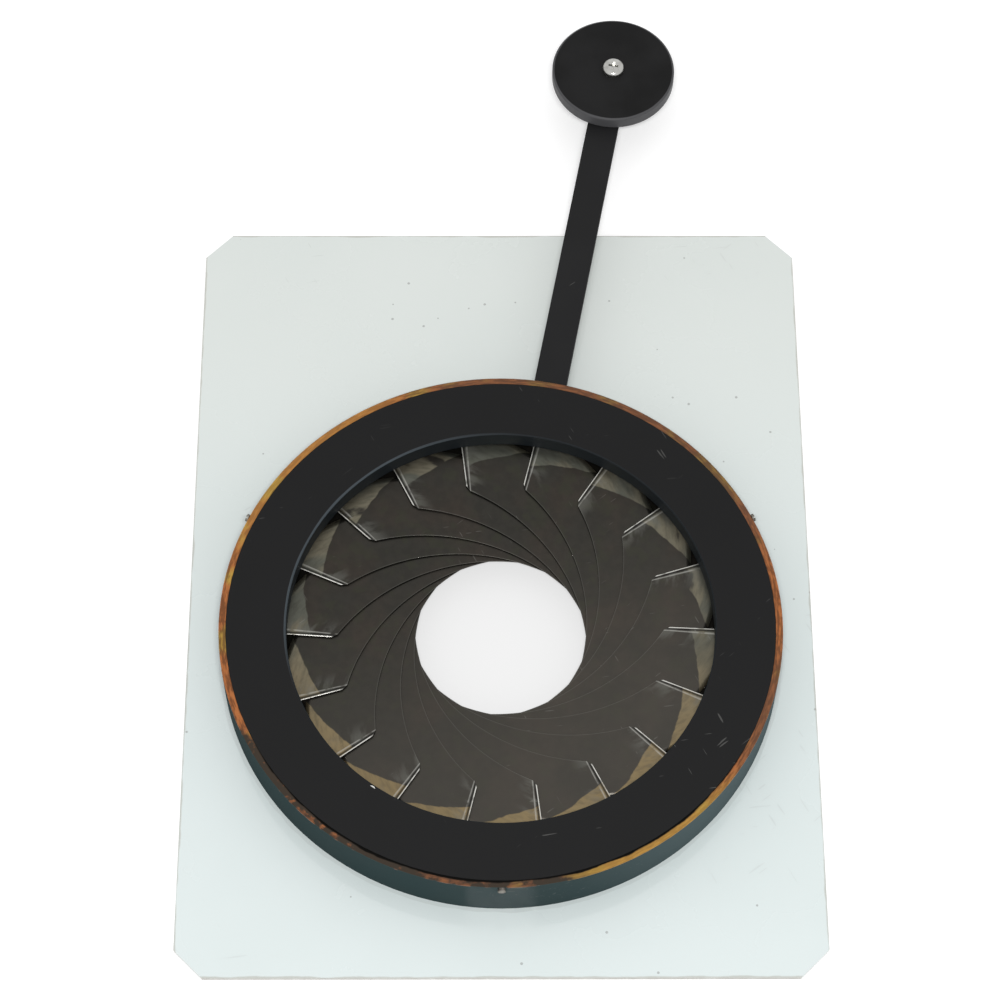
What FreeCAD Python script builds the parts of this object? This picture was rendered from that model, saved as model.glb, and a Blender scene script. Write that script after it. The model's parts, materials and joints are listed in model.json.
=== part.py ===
"""Iris diaphragm on a flat mounting plate, with a long lever and a disc knob.

The optical axis is Z, and z = 0 is the underside of the plate. The part is drawn with the
opening at 60 mm across, as it was photographed. Eighteen leaves turn on pivot pins in the floor
of the housing. A drive pin at the far end of each leaf stands in a curved slot of the drive ring,
and the lever is riveted to that ring. Turning the lever anticlockwise closes the opening.
"""
import FreeCAD
import Part
import os
import re
from math import acos, asin, atan2, cos, degrees, radians, sin, sqrt

import Sketcher

Vector = FreeCAD.Vector

# Sizes in millimetres and angles in degrees. A size in words follows from the others.
SIZES = {
    # light path through plate, housing floor and cover
    "light_radius": 76.2,
    # housing, whose height is that of the layers in it
    "ring_width": 23.8,
    "ring_radius": "light_radius + ring_width",
    "ring_height": "floor_thickness + leaf_room + drive_ring_thickness + lever_room + cover_thickness",
    "lever_room": "lever_thickness + lever_gap",
    "floor_thickness": 1.8,
    "wall_thickness": 2.5,
    "ledge_width": 1.3,
    "ledge_gap": 0.1,
    "rim_break": 0.3,
    # mounting plate, with a margin on each side of the housing
    "plate_side_margin": 12.5,
    "plate_front_margin": 25,
    "plate_back_margin": 75,
    "plate_side": "ring_radius + plate_side_margin",
    "plate_front": "ring_radius + plate_front_margin",
    "plate_back": "ring_radius + plate_back_margin",
    "plate_thickness": 2,
    "plate_corner": 10,
    # leaves, which reach into the light path when open and stay inside the ledge
    "leaf_count": 18,
    "leaf_azimuth": 10.75,
    "leaf_overhang": 5.2,
    "leaf_side_gap": 0.7,
    "leaf_inner": "light_radius - leaf_overhang",
    "leaf_outer": "ring_radius - wall_thickness - ledge_width - leaf_side_gap",
    "leaf_thickness": 0.2,
    "leaf_end_angle": 132.6,
    "leaf_clip": 1.5,
    "leaf_room": 11,
    "leaf_gap": 0.3,
    "leaf_margin": 1.5,
    "opening_ratio": 0.3963,
    "aperture_radius": "light_radius * opening_ratio",
    # pivot pins and drive pins
    "pivot_inset": 8.5,
    "drive_inset": 3.2,
    "pivot_circle": "leaf_outer - pivot_inset",
    "drive_reach": "leaf_outer - drive_inset",
    "drive_angle": 137.7,
    "pin_radius": 1.25,
    "pin_fit": 0.05,
    "pin_end_gap": 0.1,
    "pin_head_radius": 2.2,
    "pin_head_height": 0.35,
    "pin_head_gap": 0.16,
    # drive ring, which turns round the cover's skirt
    "skirt_gap": 0.5,
    "drive_ring_inner": "light_radius + skirt_wall + skirt_gap",
    "drive_ring_thickness": 1.5,
    "drive_ring_fit": 0.1,
    "slot_fit": 0.1,
    # lever travel from the place where it is drawn, and leaf turn for each degree of it
    "lever_azimuth": 79.4,
    "lever_open_angle": 55,
    "lever_closed_angle": 14,
    "leaf_ratio": 0.488,
    # lever
    "lever_width": 12,
    "lever_thickness": 2.5,
    "lever_arm": 141.4,
    "lever_reach": "ring_radius + lever_arm",
    "lever_gap": 0.3,
    "stop_gap": 0.6,
    "window_gap": 0.2,
    "foot_inset": 2.3,
    "foot_depth": 14,
    "foot_inner": "drive_ring_inner + foot_inset",
    "foot_outer": "foot_inner + foot_depth",
    "foot_width": 26,
    "rivet_inset": 7.5,
    "rivet_circle": "foot_inner + rivet_inset",
    "rivet_spacing": 18,
    "rivet_radius": 1.5,
    "rivet_head_radius": 2.4,
    "rivet_head_height": 0.6,
    # cover ring
    "cover_thickness": 2.9,
    "cover_fit": 0.1,
    "cover_break": 0.4,
    "skirt_wall": 1,
    "skirt_drop": 0.2,
    "skirt_depth": "cover_thickness + lever_room + drive_ring_thickness + skirt_drop",
    # cover screws, driven in through the housing wall
    "first_screw_angle": 25,
    "second_screw_angle": 155,
    "third_screw_angle": 270,
    "cover_screw_radius": 0.9,
    "cover_screw_fit": 0.1,
    "cover_screw_length": 7,
    "cover_head_radius": 1.4,
    "cover_head_height": 1,
    # housing screws, driven in from under the plate
    "base_screw_count": 6,
    "base_screw_azimuth": 30,
    "base_screw_radius": 1.25,
    "base_screw_fit": 0.1,
    "base_screw_length": 9,
    "base_head_radius": 2.3,
    "base_head_height": 1.2,
    # driver slots of the small screws
    "slot_width": 0.5,
    "slot_depth": 0.5,
    # knob and its screw, washer and nut
    "knob_radius": 23.7,
    "knob_thickness": 5.6,
    "knob_round": 0.8,
    "knob_screw_radius": 2,
    "knob_screw_fit": 0.1,
    "knob_head_radius": 4.2,
    "knob_head_height": 2.5,
    "knob_head_round": 1.5,
    "recess_length": 3.8,
    "recess_width": 0.9,
    "recess_depth": 1.4,
    "washer_radius": 4.5,
    "washer_thickness": 0.8,
    "nut_width": 7,
    "nut_height": 3.2,
    "screw_tail": 0.8,
}

doc = FreeCAD.newDocument("iris_diaphragm")
sheet = doc.addObject("Spreadsheet::Sheet", "Sizes")
for row, name in enumerate(SIZES, start=1):
    sheet.set("A%d" % row, name)
    sheet.setAlias("B%d" % row, name)
for row, size in enumerate(SIZES.values(), start=1):
    sheet.set("B%d" % row, "=" + size if isinstance(size, str) else str(size))
doc.recompute()


def formula(text):
    """Puts the sheet's name before each size that an expression uses."""
    return re.sub("[a-z_]+", lambda word: "Sizes." + word.group() if word.group() in SIZES else word.group(), text)


def value(text):
    """Works out an expression of sizes as a plain number."""
    return float(sheet.evalExpression(formula(text)))


def bind(target, path, text):
    target.setExpression(path, formula(text))


def spin(angle, base=Vector(0, 0, 0)):
    """A placement turned about Z."""
    return FreeCAD.Placement(base, FreeCAD.Rotation(Vector(0, 0, 1), angle))


def polar(radius, angle, height=0.0):
    return Vector(radius * cos(radians(angle)), radius * sin(radians(angle)), height)


# Heights from the plate's underside and radii from the axis, as expressions of the sizes
FLOOR_TOP = "(plate_thickness + floor_thickness)"
RING_LOW = "(plate_thickness + floor_thickness + leaf_room)"
RING_TOP = "(plate_thickness + floor_thickness + leaf_room + drive_ring_thickness)"
LEVER_TOP = "(%s + lever_thickness)" % RING_TOP
COVER_LOW = "(%s + lever_gap)" % LEVER_TOP
RIM_TOP = "(plate_thickness + ring_height)"
KNOB_TOP = "(%s + knob_thickness)" % LEVER_TOP
BORE = "(ring_radius - wall_thickness)"
LEDGE = "(ring_radius - wall_thickness - ledge_width)"
BASE_CIRCLE = "(ring_radius - (wall_thickness + ledge_width) / 2)"
COVER_SCREW_HEIGHT = "((%s + %s) / 2)" % (COVER_LOW, RIM_TOP)

# How far the centre of a leaf's inner curve stands off the axis, in the place where it is drawn
OFFSET = "(leaf_inner - aperture_radius)"
PIVOT_ALONG = "(-%s / 2)" % OFFSET
PIVOT_ACROSS = "(-sqrt(pivot_circle^2 - (%s / 2)^2))" % OFFSET
PIVOT_X = "(%s * cos(leaf_azimuth) - %s * sin(leaf_azimuth))" % (PIVOT_ALONG, PIVOT_ACROSS)
PIVOT_Y = "(%s * sin(leaf_azimuth) + %s * cos(leaf_azimuth))" % (PIVOT_ALONG, PIVOT_ACROSS)

# Angles about a leaf's own centre that its two round ends take up, and its climb for each degree
PIVOT_END = "((leaf_outer - pivot_circle) / pivot_circle * 180 / pi)"
DRIVE_END = "((leaf_outer - drive_reach) / drive_reach * 180 / pi)"
CLIMB = "((leaf_room - 2 * leaf_gap - leaf_thickness) / (%s + drive_angle + %s))" % (PIVOT_END, DRIVE_END)
LEAF_LOW = "(%s + leaf_gap)" % FLOOR_TOP


# Drawing helpers

def new_body(name):
    body = doc.addObject("PartDesign::Body", name)
    body.Label = name
    return body


def new_sketch(body, name, role="XY_Plane", height="0"):
    """A sketch on one of the body's own planes, lifted along the plane's normal."""
    sketch = body.newObject("Sketcher::SketchObject", name)
    plane = [datum for datum in body.Origin.OriginFeatures if datum.Role == role][0]
    sketch.AttachmentSupport = [(plane, "")]
    sketch.MapMode = "FlatFace"
    if height != "0":
        sketch.AttachmentOffset = FreeCAD.Placement(Vector(0, 0, value(height)), FreeCAD.Rotation())
        bind(sketch, "AttachmentOffset.Base.z", height)
    return sketch


def locate(sketch, geometry, point, x, y):
    """Holds one point of a sketch at two distances from its origin."""
    for kind, text, axis in (("DistanceX", x, -2), ("DistanceY", y, -1)):
        if text == "0":
            sketch.addConstraint(Sketcher.Constraint("PointOnObject", geometry, point, axis))
            continue
        index = sketch.addConstraint(Sketcher.Constraint(kind, -1, 1, geometry, point, value(text)))
        bind(sketch, "Constraints[%d]" % index, text)


def outline(sketch, corners):
    """Closed outline of straight lines through corners given as pairs of expressions."""
    points = [Vector(value(x), value(y), 0) for x, y in corners]
    first = sketch.GeometryCount
    count = len(points)
    for i in range(count):
        sketch.addGeometry(Part.LineSegment(points[i], points[(i + 1) % count]), False)
    for i in range(count):
        sketch.addConstraint(Sketcher.Constraint("Coincident", first + i, 2, first + (i + 1) % count, 1))
    for i, (x, y) in enumerate(corners):
        locate(sketch, first + i, 1, x, y)


def circle(sketch, radius, x="0", y="0"):
    centre = Vector(value(x), value(y), 0)
    index = sketch.addGeometry(Part.Circle(centre, Vector(0, 0, 1), value(radius)), False)
    size = sketch.addConstraint(Sketcher.Constraint("Radius", index, value(radius)))
    bind(sketch, "Constraints[%d]" % size, radius)
    locate(sketch, index, 3, x, y)


def pad(body, sketch, height):
    feature = body.newObject("PartDesign::Pad", sketch.Name + "_pad")
    feature.Profile = sketch
    bind(feature, "Length", height)
    doc.recompute()
    return feature


def pocket(body, sketch, depth, up=True):
    """Cuts a sketch's outline upwards from its plane, or downwards."""
    before = body.Shape.Volume
    feature = body.newObject("PartDesign::Pocket", sketch.Name + "_pocket")
    feature.Profile = sketch
    feature.Reversed = up
    bind(feature, "Length", depth)
    doc.recompute()
    if not body.Shape.Volume < before:
        raise RuntimeError(sketch.Label + " cuts nothing")
    return feature


def revolve(body, sketch):
    feature = body.newObject("PartDesign::Revolution", sketch.Name + "_turned")
    feature.Profile = sketch
    feature.ReferenceAxis = (sketch, ["V_Axis"])
    feature.Angle = 360
    doc.recompute()
    return feature


def around(body, feature, count):
    """Repeats a feature evenly about the Z axis of its sketch."""
    pattern = body.newObject("PartDesign::PolarPattern", feature.Name + "_ring")
    pattern.Originals = [feature]
    pattern.Axis = (feature.Profile[0], ["N_Axis"])
    pattern.Angle = 360
    bind(pattern, "Occurrences", count)
    body.Tip = pattern
    doc.recompute()
    return pattern


def fillet(body, feature, radius, chosen):
    """Rounds the edges of a feature that a test picks."""
    names = ["Edge%d" % i for i, edge in enumerate(feature.Shape.Edges, start=1) if chosen(edge)]
    rounding = body.newObject("PartDesign::Fillet", feature.Name + "_round")
    rounding.Base = (feature, names)
    bind(rounding, "Radius", radius)
    doc.recompute()
    return rounding


def feature(name, shape, placement=None):
    """A piece whose shape is worked out in code."""
    piece = doc.addObject("Part::Feature", name)
    piece.Label = name
    piece.Shape = shape
    if placement:
        piece.Placement = placement
    return piece


def cut(name, base, tool):
    piece = doc.addObject("Part::Cut", name)
    piece.Label = name
    piece.Base = base
    piece.Tool = tool
    doc.recompute()
    return piece


def copies(shape, placements):
    """One compound of separate solids, a copy of a shape at each placement."""
    solids = []
    for placement in placements:
        solid = shape.copy()
        solid.Placement = placement.multiply(shape.Placement)
        solids.append(solid)
    return Part.makeCompound(solids)


# Leaf kinematics, worked out from the sheet

def leaf_turn(aperture):
    """Turn of a leaf about its pivot, from fully open to an opening of this radius."""
    return degrees(2 * asin((value("leaf_inner") - aperture) / (2 * value("pivot_circle"))))


def leaf_height(angle):
    """Height of a leaf's underside at an angle about its own centre, from the pivot onwards."""
    return value("%s + %s * (%s + %r)" % (LEAF_LOW, CLIMB, PIVOT_END, float(angle)))


def leaf_placement(number):
    """Takes a leaf from its own frame, with the pivot on X, to its place in the housing."""
    azimuth = value("leaf_azimuth") + (number - 1) * 360 / value("leaf_count")
    pivot_angle = 90 - leaf_turn(value("aperture_radius")) / 2
    return spin(azimuth - pivot_angle, polar(-value(OFFSET), azimuth))


def drive_pin_track():
    """Places of a drive pin in the drive ring, from fully open to smallest opening."""
    pivot = Vector(value("pivot_circle"), 0, 0)
    pin = polar(value("drive_reach"), value("drive_angle"))
    home = leaf_placement(1)
    ratio = value("leaf_ratio")
    opened, closed = -value("lever_open_angle"), value("lever_closed_angle")
    steps = 24
    track = []
    for step in range(steps + 1):
        turn = opened + (closed - opened) * step / steps
        swung = pivot + spin(turn * ratio).multVec(pin - pivot)
        track.append(spin(-turn).multVec(home.multVec(swung)))
    return track


# Fixed pieces

def mounting_plate():
    body = new_body("plate_blank")
    sketch = new_sketch(body, "plate_outline")
    side, front, back = "plate_side", "plate_front", "plate_back"
    outline(sketch, [("-%s + plate_corner" % side, "-%s" % front), ("%s - plate_corner" % side, "-%s" % front),
                     (side, "-%s + plate_corner" % front), (side, "%s - plate_corner" % back),
                     ("%s - plate_corner" % side, back), ("-%s + plate_corner" % side, back),
                     ("-%s" % side, "%s - plate_corner" % back), ("-%s" % side, "-%s + plate_corner" % front)])
    circle(sketch, "light_radius")
    pad(body, sketch, "plate_thickness")
    return cut("mounting_plate", body, base_screw_tools("plate_screw_holes"))


def base_screw_section(radius, head, length):
    """Half section of a countersunk screw that stands on the axis with its head at z = 0."""
    return [Vector(0, 0, 0), Vector(head, 0, 0), Vector(radius, 0, value("base_head_height")),
            Vector(radius, 0, length), Vector(0, 0, length), Vector(0, 0, 0)]


def turned(section):
    """Solid turned about Z from a closed half section."""
    return Part.Face(Part.makePolygon(section)).revolve(Vector(0, 0, 0), Vector(0, 0, 1), 360)


def base_screw_places():
    count = int(value("base_screw_count"))
    first = value("base_screw_azimuth")
    return [FreeCAD.Placement(polar(value(BASE_CIRCLE), first + i * 360 / count), FreeCAD.Rotation())
            for i in range(count)]


def base_screw_tools(name):
    fit = value("base_screw_fit")
    hole = base_screw_section(value("base_screw_radius") + fit, value("base_head_radius") + fit,
                              value("base_screw_length") + fit)
    return feature(name, copies(turned(hole), base_screw_places()))


def base_screws():
    screw = turned(base_screw_section(value("base_screw_radius"), value("base_head_radius"),
                                      value("base_screw_length")))
    return feature("base_screws", copies(screw.cut(driver_slot()), base_screw_places()))


def driver_slot():
    """Straight slot across a small screw head whose top is at z = 0 and whose body lies above it."""
    width, depth = value("slot_width"), value("slot_depth")
    across = 3 * value("base_head_radius")
    return Part.makeBox(across, width, 2 * depth, Vector(-across / 2, -width / 2, -depth))


def cover_screw_places():
    """Placements that turn a screw's Z axis inwards, with its head against the housing."""
    places = []
    for name in ("first_screw_angle", "second_screw_angle", "third_screw_angle"):
        azimuth = value(name)
        seat = polar(value("ring_radius"), azimuth, value(COVER_SCREW_HEIGHT))
        places.append(FreeCAD.Placement(seat, FreeCAD.Rotation(Vector(0, 0, 1), -polar(1, azimuth))))
    return places


def cover_screws():
    """Cheese-head screws: the head starts outside the wall and the shank runs into the cover."""
    head, shank = value("cover_head_radius"), value("cover_screw_radius")
    top = -value("cover_head_height")
    # The head's underside is flat, so it stands clear of the round wall by the wall's own curve
    curve = value("ring_radius") - sqrt(value("ring_radius") ** 2 - head ** 2)
    section = [Vector(0, 0, top), Vector(head, 0, top), Vector(head, 0, -curve), Vector(shank, 0, -curve),
               Vector(shank, 0, value("cover_screw_length")), Vector(0, 0, value("cover_screw_length")),
               Vector(0, 0, top)]
    slot = driver_slot()
    slot.translate(Vector(0, 0, top))
    return feature("cover_screws", copies(turned(section).cut(slot), cover_screw_places()))


def cover_screw_tools(name, radius):
    length = value("cover_screw_length")
    hole = Part.makeCylinder(radius, 2 * length, Vector(0, 0, -length))
    return feature(name, copies(hole, cover_screw_places()))


def housing():
    body = new_body("housing_blank")
    section = new_sketch(body, "housing_section", "XZ_Plane")
    outline(section, [("light_radius", "plate_thickness"), ("ring_radius", "plate_thickness"),
                      ("ring_radius", RIM_TOP + " - rim_break"), ("ring_radius - rim_break", RIM_TOP),
                      (BORE, RIM_TOP), (BORE, RING_LOW + " - ledge_gap"),
                      (LEDGE, RING_LOW + " - ledge_gap"), (LEDGE, FLOOR_TOP), ("light_radius", FLOOR_TOP)])
    revolve(body, section)
    holes = new_sketch(body, "pivot_holes", height="plate_thickness")
    circle(holes, "pin_radius + pin_fit", PIVOT_X, PIVOT_Y)
    around(body, pocket(body, holes, "floor_thickness"), "leaf_count")
    window = new_sketch(body, "lever_window", height=RING_TOP + " - window_gap")
    outline(window, window_corners())
    pocket(body, window, "lever_thickness + lever_gap + window_gap")
    drilled = cut("housing_drilled", body, cover_screw_tools("wall_holes", value("cover_screw_radius + cover_screw_fit")))
    return cut("housing", drilled, base_screw_tools("floor_holes"))


def window_corners():
    """Four-sided outline that takes out the wall between the lever's two end stops."""
    side = "(lever_width / 2 + stop_gap)"
    near, far = "(%s - ledge_width)" % LEDGE, "(2 * ring_radius)"
    start, end = "(lever_azimuth - lever_open_angle)", "(lever_azimuth + lever_closed_angle)"
    corners = []
    for reach, angle, sign in ((near, start, "+"), (far, start, "+"), (far, end, "-"), (near, end, "-")):
        other = "-" if sign == "+" else "+"
        corners.append(("%s * cos(%s) %s %s * sin(%s)" % (reach, angle, sign, side, angle),
                        "%s * sin(%s) %s %s * cos(%s)" % (reach, angle, other, side, angle)))
    return corners


def cover_ring():
    body = new_body("cover_blank")
    section = new_sketch(body, "cover_section", "XZ_Plane")
    rim = BORE + " - cover_fit"
    skirt = "light_radius + skirt_wall"
    outline(section, [("light_radius", RIM_TOP + " - skirt_depth"), (skirt, RIM_TOP + " - skirt_depth"),
                      (skirt, COVER_LOW), (rim, COVER_LOW), (rim, RIM_TOP),
                      ("light_radius + cover_break", RIM_TOP), ("light_radius", RIM_TOP + " - cover_break")])
    revolve(body, section)
    return cut("cover_ring", body, cover_screw_tools("cover_holes", value("cover_screw_radius")))


# Drive ring, lever and knob

def slot_tool():
    """Curved slot that clears a drive pin over its whole track in the ring."""
    track = drive_pin_track()
    reaches = [point.Length for point in track]
    deepest = reaches.index(min(reaches))
    middle = track[deepest // 2]
    run = Part.Arc(track[0], middle, track[deepest]).toShape().Curve
    centre, radius = run.Center, run.Radius
    stray = max(abs((point - centre).Length - radius) for point in track)
    half = value("pin_radius + slot_fit") + stray
    face = Part.Face(path_band(track[0], middle, track[deepest], centre, radius, half))
    solid = face.extrude(Vector(0, 0, value("3 * drive_ring_thickness")))
    solid.translate(Vector(0, 0, value(RING_LOW + " - drive_ring_thickness")))
    return solid


def path_band(start, middle, end, centre, radius, half):
    """Outline of a band of even half width along an arc, with round ends."""
    def shifted(point, distance):
        return centre + (point - centre) * ((radius + distance) / radius)

    def beyond(point, before):
        along = point - before
        across = (point - centre).normalize()
        along = along - across * along.dot(across)
        return point + along.normalize() * half

    edges = [Part.Arc(shifted(start, half), shifted(middle, half), shifted(end, half)),
             Part.Arc(shifted(end, half), beyond(end, middle), shifted(end, -half)),
             Part.Arc(shifted(end, -half), shifted(middle, -half), shifted(start, -half)),
             Part.Arc(shifted(start, -half), beyond(start, middle), shifted(start, half))]
    return Part.Wire([edge.toShape() for edge in edges])


def ring_cylinder(name, radius, low, height):
    piece = doc.addObject("Part::Cylinder", name)
    bind(piece, "Radius", radius)
    bind(piece, "Height", height)
    bind(piece, "Placement.Base.z", low)
    return piece


def drive_ring():
    disc = ring_cylinder("drive_ring_disc", BORE + " - drive_ring_fit", RING_LOW, "drive_ring_thickness")
    opening = ring_cylinder("drive_ring_opening", "drive_ring_inner", RING_LOW + " - drive_ring_thickness",
                            "3 * drive_ring_thickness")
    blank = cut("drive_ring_blank", disc, opening)
    count = int(value("leaf_count"))
    slot = slot_tool()
    slots = feature("drive_slots", copies(slot, [spin(i * 360 / count) for i in range(count)]))
    slotted = cut("drive_ring_slotted", blank, slots)
    return cut("drive_ring", slotted, rivet_tools("ring_rivet_holes"))


def lever_placement():
    return spin(value("lever_azimuth"))


def rivet_solid():
    """Rivet through drive ring and lever foot, countersunk flush on both faces."""
    radius, head = value("rivet_radius"), value("rivet_head_radius")
    low, high, depth = value(RING_LOW), value(LEVER_TOP), value("rivet_head_height")
    return turned([Vector(0, 0, low), Vector(head, 0, low), Vector(radius, 0, low + depth),
                   Vector(radius, 0, high - depth), Vector(head, 0, high), Vector(0, 0, high), Vector(0, 0, low)])


def rivet_places():
    """The two rivets stand on one circle, each side of the lever."""
    swing = degrees(asin(value("rivet_spacing") / 2 / value("rivet_circle")))
    azimuth = value("lever_azimuth")
    return [FreeCAD.Placement(polar(value("rivet_circle"), azimuth + side * swing), FreeCAD.Rotation())
            for side in (-1, 1)]


def rivet_tools(name):
    return feature(name, copies(rivet_solid(), rivet_places()))


def lever_bar():
    body = new_body("lever_blank")
    sketch = new_sketch(body, "lever_outline", height=RING_TOP)
    outline(sketch, [("foot_inner", "-foot_width / 2"), ("foot_outer", "-foot_width / 2"),
                     ("foot_outer", "-lever_width / 2"), ("lever_reach", "-lever_width / 2"),
                     ("lever_reach", "lever_width / 2"), ("foot_outer", "lever_width / 2"),
                     ("foot_outer", "foot_width / 2"), ("foot_inner", "foot_width / 2")])
    pad(body, sketch, "lever_thickness")
    tip = new_sketch(body, "lever_tip", height=RING_TOP)
    circle(tip, "lever_width / 2", "lever_reach")
    pad(body, tip, "lever_thickness")
    hole = new_sketch(body, "lever_hole", height=RING_TOP)
    circle(hole, "knob_screw_radius + knob_screw_fit", "lever_reach")
    pocket(body, hole, "lever_thickness")
    body.Placement = lever_placement()
    return cut("lever_bar", body, rivet_tools("foot_rivet_holes"))


def lever_rivets():
    return feature("lever_rivets", copies(rivet_solid(), rivet_places()))


def knob_placement():
    """Knob, screw, washer and nut stand on the lever's far hole."""
    return FreeCAD.Placement(polar(value("lever_reach"), value("lever_azimuth")),
                             FreeCAD.Rotation(Vector(0, 0, 1), value("lever_azimuth")))


def knob_disc():
    body = new_body("knob_disc")
    section = new_sketch(body, "knob_section", "XZ_Plane")
    hole = "knob_screw_radius + knob_screw_fit"
    outline(section, [(hole, LEVER_TOP), ("knob_radius", LEVER_TOP), ("knob_radius", KNOB_TOP), (hole, KNOB_TOP)])
    blank = revolve(body, section)
    fillet(body, blank, "knob_round", lambda edge: edge.BoundBox.XLength > value("knob_radius"))
    body.Placement = knob_placement()
    return body


def knob_screw():
    body = new_body("knob_screw")
    section = new_sketch(body, "screw_section", "XZ_Plane")
    end = RING_TOP + " - washer_thickness - nut_height - screw_tail"
    head = KNOB_TOP + " + knob_head_height"
    outline(section, [("0", end), ("knob_screw_radius", end), ("knob_screw_radius", KNOB_TOP),
                      ("knob_head_radius", KNOB_TOP), ("knob_head_radius", head), ("0", head)])
    blank = revolve(body, section)
    top = value(head)
    fillet(body, blank, "knob_head_round",
           lambda edge: edge.BoundBox.ZMin > top - 0.01 and edge.BoundBox.XLength > value("knob_head_radius"))
    recess = new_sketch(body, "cross_recess", height=head)
    arm, half = "recess_length / 2", "recess_width / 2"
    outline(recess, [(arm, "-" + half), (arm, half), (half, half), (half, arm), ("-" + half, arm), ("-" + half, half),
                     ("-" + arm, half), ("-" + arm, "-" + half), ("-" + half, "-" + half), ("-" + half, "-" + arm),
                     (half, "-" + arm), (half, "-" + half)])
    pocket(body, recess, "recess_depth", up=False)
    body.Placement = knob_placement()
    return body


def knob_washer():
    body = new_body("knob_washer")
    sketch = new_sketch(body, "washer_outline", height=RING_TOP + " - washer_thickness")
    circle(sketch, "washer_radius")
    circle(sketch, "knob_screw_radius + knob_screw_fit")
    pad(body, sketch, "washer_thickness")
    body.Placement = knob_placement()
    return body


def knob_nut():
    body = new_body("knob_nut")
    sketch = new_sketch(body, "nut_outline", height=RING_TOP + " - washer_thickness - nut_height")
    corners = [("nut_width / 2 / cos(30) * cos(%d)" % angle, "nut_width / 2 / cos(30) * sin(%d)" % angle)
               for angle in (30, 90, 150, 210, 270, 330)]
    outline(sketch, corners)
    circle(sketch, "knob_screw_radius")
    pad(body, sketch, "nut_height")
    body.Placement = knob_placement()
    return body


# Leaves and their pins

def tangent_between(centre, radius, other, other_radius):
    """Touch points of the straight line that crosses between two circles, leaving the first."""
    gap = other - centre
    lean = degrees(acos((radius + other_radius) / gap.Length))
    angle = degrees(atan2(gap.y, gap.x)) + lean
    return centre + polar(radius, angle), other - polar(other_radius, angle)


def leaf_outline():
    """Outline of a leaf seen from above, with the pivot on X and its own centre at the origin."""
    inner, outer = value("leaf_inner"), value("leaf_outer")
    span, clip = value("leaf_end_angle"), value("leaf_clip")
    pivot = Vector(value("pivot_circle"), 0, 0)
    pivot_pad = outer - value("pivot_circle")
    drive = polar(value("drive_reach"), value("drive_angle"))
    drive_pad = outer - value("drive_reach")
    # Straight run from the inner curve to the round end about the pivot
    start, pivot_touch = tangent_between(Vector(0, 0, 0), inner, pivot, pivot_pad)
    # Straight oblique end from the inner corner to the round about the drive pin
    corner = polar(inner, span)
    gap = drive - corner
    turn = degrees(atan2(gap.y, gap.x) + asin(drive_pad / gap.Length))
    drive_touch = drive + polar(drive_pad, turn + 90)
    clipped = corner + polar(clip, turn)
    curve_end = polar(inner, span - degrees(clip / inner))
    start_angle = degrees(atan2(start.y, start.x))
    drive_angle = value("drive_angle")
    edges = [Part.Arc(start, polar(inner, (start_angle + span) / 2), curve_end),
             Part.LineSegment(curve_end, clipped),
             Part.LineSegment(clipped, drive_touch),
             Part.Arc(drive_touch, drive + polar(drive_pad, (turn + 90 + drive_angle) / 2),
                      drive + polar(drive_pad, drive_angle)),
             Part.Arc(polar(outer, drive_angle), polar(outer, drive_angle / 2), polar(outer, 0)),
             Part.Arc(polar(outer, 0), pivot + polar(pivot_pad, -80), pivot_touch),
             Part.LineSegment(pivot_touch, start)]
    return Part.Wire([edge.toShape() for edge in edges])


def leaf_blank():
    """One leaf in its own frame: a thin band that climbs about the leaf's centre like a shallow
    spiral stair, cut to the leaf's outline. The climb lets each leaf lie over the next one."""
    band = new_body("leaf_band")
    section = new_sketch(band, "leaf_section", "XZ_Plane")
    inner, outer = "leaf_inner - leaf_margin", "leaf_outer + leaf_margin"
    outline(section, [(inner, "0"), (outer, "0"), (outer, "leaf_thickness"), (inner, "leaf_thickness")])
    doc.recompute()
    helix = band.newObject("PartDesign::AdditiveHelix", "leaf_climb")
    helix.Profile = section
    helix.ReferenceAxis = (section, ["V_Axis"])
    helix.Mode = "pitch-height-angle"
    bind(helix, "Pitch", "360 * " + CLIMB)
    bind(helix, "Height", "%s * (2 * %s + drive_angle + 2 * %s)" % (CLIMB, PIVOT_END, DRIVE_END))
    doc.recompute()
    start = -2 * value(PIVOT_END)
    band.Placement = spin(start, Vector(0, 0, leaf_height(start)))
    pivot = Vector(value("pivot_circle"), 0, 0)
    drive = polar(value("drive_reach"), value("drive_angle"))
    holes = [Part.Wire(Part.makeCircle(value("pin_radius"), place)) for place in (pivot, drive)]
    flat = Part.makeFace([leaf_outline()] + holes, "Part::FaceMakerBullseye")
    prism = feature("leaf_prism", flat.extrude(Vector(0, 0, value(RIM_TOP))))
    trimmed = doc.addObject("Part::Common", "leaf_blank")
    trimmed.Base = band
    trimmed.Tool = prism
    doc.recompute()
    bores = [face for face in trimmed.Shape.Faces
             if isinstance(face.Surface, Part.Cylinder) and abs(face.Surface.Radius - value("pin_radius")) < 1e-6]
    if len(bores) < len(holes):
        raise RuntimeError("a pin hole is missing from the leaf")
    return trimmed


def pin(place, shank_low, shank_high, head_low):
    """Riveted pin: a straight shank with a thin round head."""
    shank = Part.makeCylinder(value("pin_radius"), shank_high - shank_low, Vector(place.x, place.y, shank_low))
    head = Part.makeCylinder(value("pin_head_radius"), value("pin_head_height"), Vector(place.x, place.y, head_low))
    return shank.fuse(head).removeSplitter().Solids[0]


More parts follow.
